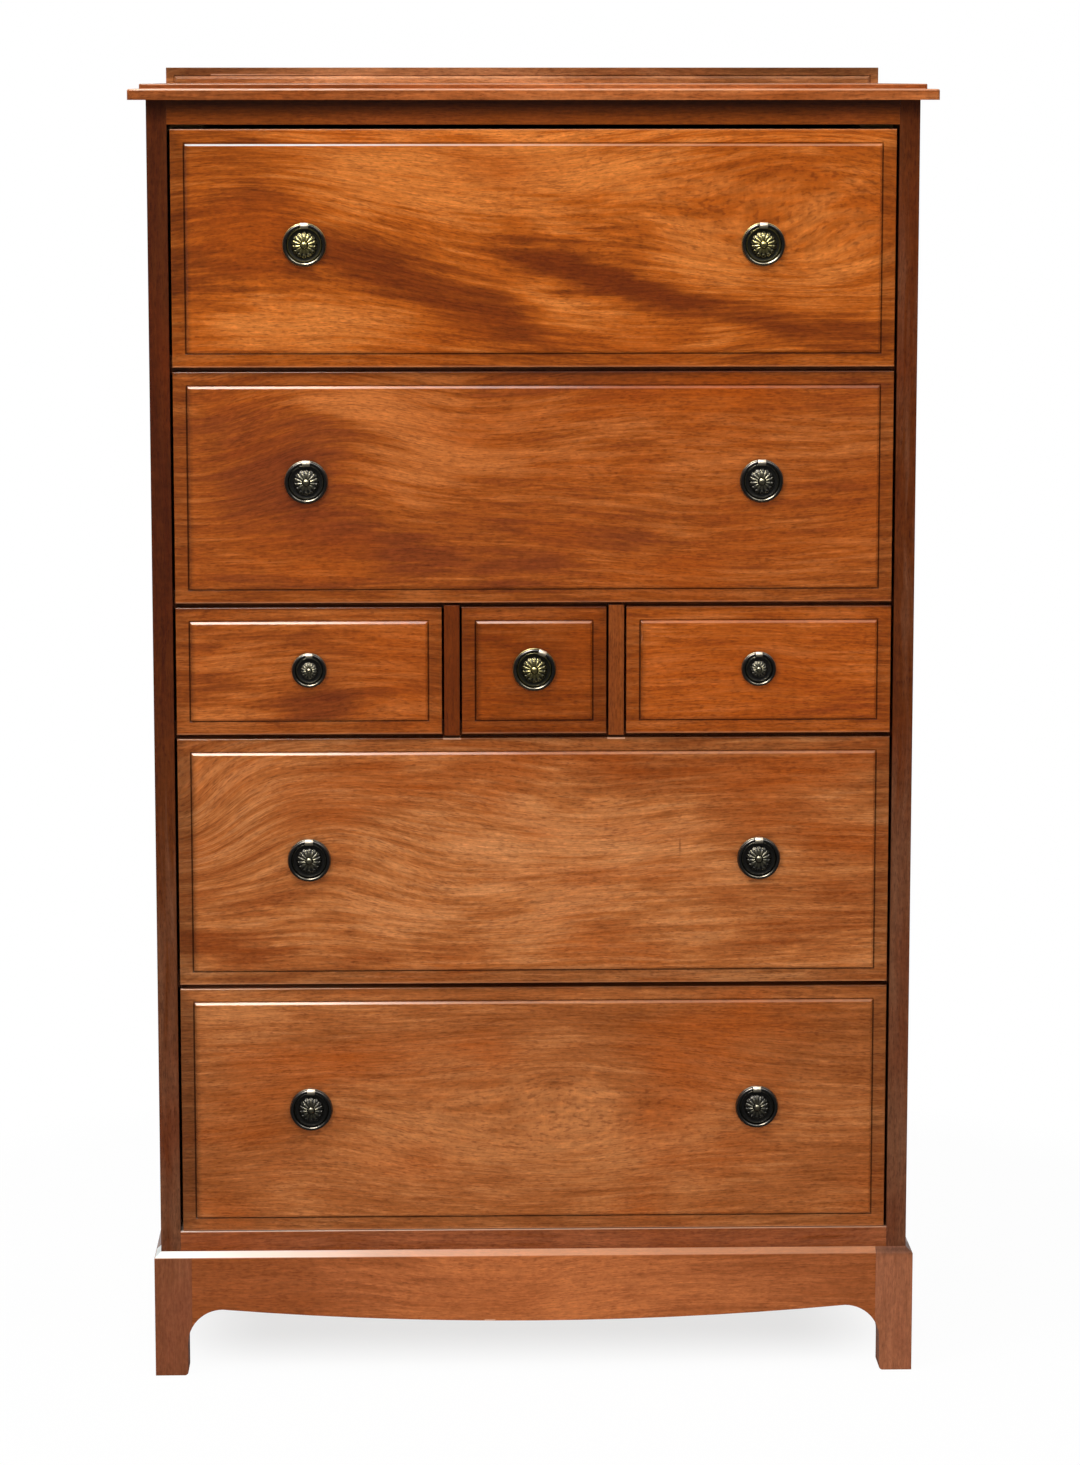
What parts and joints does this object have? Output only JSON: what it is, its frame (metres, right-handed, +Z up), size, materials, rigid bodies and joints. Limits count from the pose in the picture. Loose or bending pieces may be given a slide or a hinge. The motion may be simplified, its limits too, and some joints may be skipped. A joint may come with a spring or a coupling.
{
  "type": "chest of drawers",
  "caption": "Tall flat-fronted mahogany chest with long and short drawers, round brass ring pulls, a low gallery and a curved plinth.",
  "frame": {"origin": "on the floor under the middle of the chest's box", "axes": "+Z up, -Y towards the front where the drawers open, +X to the right seen from the front"},
  "size_m": [0.715, 0.441, 1.189],
  "materials": {
    "upright_mahogany": "semi-gloss french polish over dark stained mahogany, upright grain",
    "cross_mahogany": "semi-gloss polish over mahogany, grain along the width",
    "rail_mahogany": "semi-gloss polish over mahogany rail, grain along the width",
    "plinth_side_mahogany": "semi-gloss polish over mahogany, grain front to back",
    "front_mahogany": "semi-gloss polish over figured mahogany with flame streaks",
    "inner_wood": "bare planed softwood",
    "runner_wood": "bare planed hardwood, worn by the drawers",
    "back_panel_wood": "bare plywood, lightly stained",
    "drawer_side_wood": "bare planed hardwood",
    "drawer_back_wood": "bare planed hardwood",
    "drawer_bottom_wood": "bare thin plywood",
    "antique_brass": "antiqued brass, black in the hollows and rubbed on the high spots",
    "ring_brass": "antiqued brass, polished by handling",
    "screw_steel": "dull zinc-plated steel"
  },
  "bodies": {
    "case": {"side_panel_left": "upright_mahogany", "side_panel_right": "upright_mahogany", "drawer_dividers": "upright_mahogany", "plinth_posts": "upright_mahogany", "top_board": "cross_mahogany", "gallery": "cross_mahogany", "plinth_front": "cross_mahogany", "front_rails": "rail_mahogany", "plinth_rails": "plinth_side_mahogany", "rear_rails": "inner_wood", "drawer_runners": "runner_wood", "glue_blocks": "inner_wood", "back_panel": "back_panel_wood", "wood_screws": "screw_steel"},
    "drawer_top": {"drawer_top_front": "front_mahogany", "drawer_top_sides": "drawer_side_wood", "drawer_top_back": "drawer_back_wood", "drawer_top_bottom": "drawer_bottom_wood", "drawer_top_pull_plates": "antique_brass"},
    "drawer_top_ring_left": {"drawer_top_ring_left": "ring_brass"},
    "drawer_top_ring_right": {"drawer_top_ring_right": "ring_brass"},
    "drawer_second": {"drawer_second_front": "front_mahogany", "drawer_second_sides": "drawer_side_wood", "drawer_second_back": "drawer_back_wood", "drawer_second_bottom": "drawer_bottom_wood", "drawer_second_pull_plates": "antique_brass"},
    "drawer_second_ring_left": {"drawer_second_ring_left": "ring_brass"},
    "drawer_second_ring_right": {"drawer_second_ring_right": "ring_brass"},
    "small_drawer_left": {"small_drawer_left_front": "front_mahogany", "small_drawer_left_sides": "drawer_side_wood", "small_drawer_left_back": "drawer_back_wood", "small_drawer_left_bottom": "drawer_bottom_wood", "small_drawer_left_pull_plates": "antique_brass"},
    "small_drawer_left_ring": {"small_drawer_left_ring": "ring_brass"},
    "small_drawer_middle": {"small_drawer_middle_front": "front_mahogany", "small_drawer_middle_sides": "drawer_side_wood", "small_drawer_middle_back": "drawer_back_wood", "small_drawer_middle_bottom": "drawer_bottom_wood", "small_drawer_middle_pull_plates": "antique_brass"},
    "small_drawer_middle_ring": {"small_drawer_middle_ring": "ring_brass"},
    "small_drawer_right": {"small_drawer_right_front": "front_mahogany", "small_drawer_right_sides": "drawer_side_wood", "small_drawer_right_back": "drawer_back_wood", "small_drawer_right_bottom": "drawer_bottom_wood", "small_drawer_right_pull_plates": "antique_brass"},
    "small_drawer_right_ring": {"small_drawer_right_ring": "ring_brass"},
    "drawer_fourth": {"drawer_fourth_front": "front_mahogany", "drawer_fourth_sides": "drawer_side_wood", "drawer_fourth_back": "drawer_back_wood", "drawer_fourth_bottom": "drawer_bottom_wood", "drawer_fourth_pull_plates": "antique_brass"},
    "drawer_fourth_ring_left": {"drawer_fourth_ring_left": "ring_brass"},
    "drawer_fourth_ring_right": {"drawer_fourth_ring_right": "ring_brass"},
    "drawer_bottom": {"drawer_bottom_front": "front_mahogany", "drawer_bottom_sides": "drawer_side_wood", "drawer_bottom_back": "drawer_back_wood", "drawer_bottom_bottom": "drawer_bottom_wood", "drawer_bottom_pull_plates": "antique_brass"},
    "drawer_bottom_ring_left": {"drawer_bottom_ring_left": "ring_brass"},
    "drawer_bottom_ring_right": {"drawer_bottom_ring_right": "ring_brass"}
  },
  "joints": [
    {"name": "drawer_top_slide", "type": "slide", "parent": "case", "child": "drawer_top", "axis": [0, -1, 0], "range_m": [0, 0.3]},
    {"name": "drawer_top_ring_left_swing", "type": "hinge", "parent": "drawer_top", "child": "drawer_top_ring_left", "pos_m": [-0.2035, -0.2104, 1.04983], "axis": [-1, 0, 0], "range_deg": [0, 175]},
    {"name": "drawer_top_ring_right_swing", "type": "hinge", "parent": "drawer_top", "child": "drawer_top_ring_right", "pos_m": [0.2035, -0.2104, 1.04983], "axis": [-1, 0, 0], "range_deg": [0, 175]},
    {"name": "drawer_second_slide", "type": "slide", "parent": "case", "child": "drawer_second", "axis": [0, -1, 0], "range_m": [0, 0.3]},
    {"name": "drawer_second_ring_left_swing", "type": "hinge", "parent": "drawer_second", "child": "drawer_second_ring_left", "pos_m": [-0.2035, -0.2104, 0.83933], "axis": [-1, 0, 0], "range_deg": [0, 175]},
    {"name": "drawer_second_ring_right_swing", "type": "hinge", "parent": "drawer_second", "child": "drawer_second_ring_right", "pos_m": [0.2035, -0.2104, 0.83933], "axis": [-1, 0, 0], "range_deg": [0, 175]},
    {"name": "small_drawer_left_slide", "type": "slide", "parent": "case", "child": "small_drawer_left", "axis": [0, -1, 0], "range_m": [0, 0.3]},
    {"name": "small_drawer_left_ring_swing", "type": "hinge", "parent": "small_drawer_left", "child": "small_drawer_left_ring", "pos_m": [-0.20225, -0.2102, 0.66636], "axis": [-1, 0, 0], "range_deg": [0, 175]},
    {"name": "small_drawer_middle_slide", "type": "slide", "parent": "case", "child": "small_drawer_middle", "axis": [0, -1, 0], "range_m": [0, 0.3]},
    {"name": "small_drawer_middle_ring_swing", "type": "hinge", "parent": "small_drawer_middle", "child": "small_drawer_middle_ring", "pos_m": [0.00711, -0.2104, 0.66826], "axis": [-0.9063, 0, 0.4226], "range_deg": [0, 175]},
    {"name": "small_drawer_right_slide", "type": "slide", "parent": "case", "child": "small_drawer_right", "axis": [0, -1, 0], "range_m": [0, 0.3]},
    {"name": "small_drawer_right_ring_swing", "type": "hinge", "parent": "small_drawer_right", "child": "small_drawer_right_ring", "pos_m": [0.20225, -0.2102, 0.66636], "axis": [-1, 0, 0], "range_deg": [0, 175]},
    {"name": "drawer_fourth_slide", "type": "slide", "parent": "case", "child": "drawer_fourth", "axis": [0, -1, 0], "range_m": [0, 0.3]},
    {"name": "drawer_fourth_ring_left_swing", "type": "hinge", "parent": "drawer_fourth", "child": "drawer_fourth_ring_left", "pos_m": [-0.2035, -0.2104, 0.49658], "axis": [-1, 0, 0], "range_deg": [0, 175]},
    {"name": "drawer_fourth_ring_right_swing", "type": "hinge", "parent": "drawer_fourth", "child": "drawer_fourth_ring_right", "pos_m": [0.2035, -0.2104, 0.49658], "axis": [-1, 0, 0], "range_deg": [0, 175]},
    {"name": "drawer_bottom_slide", "type": "slide", "parent": "case", "child": "drawer_bottom", "axis": [0, -1, 0], "range_m": [0, 0.3]},
    {"name": "drawer_bottom_ring_left_swing", "type": "hinge", "parent": "drawer_bottom", "child": "drawer_bottom_ring_left", "pos_m": [-0.2035, -0.2104, 0.26583], "axis": [-1, 0, 0], "range_deg": [0, 175]},
    {"name": "drawer_bottom_ring_right_swing", "type": "hinge", "parent": "drawer_bottom", "child": "drawer_bottom_ring_right", "pos_m": [0.2035, -0.2104, 0.26583], "axis": [-1, 0, 0], "range_deg": [0, 175]}
  ]
}
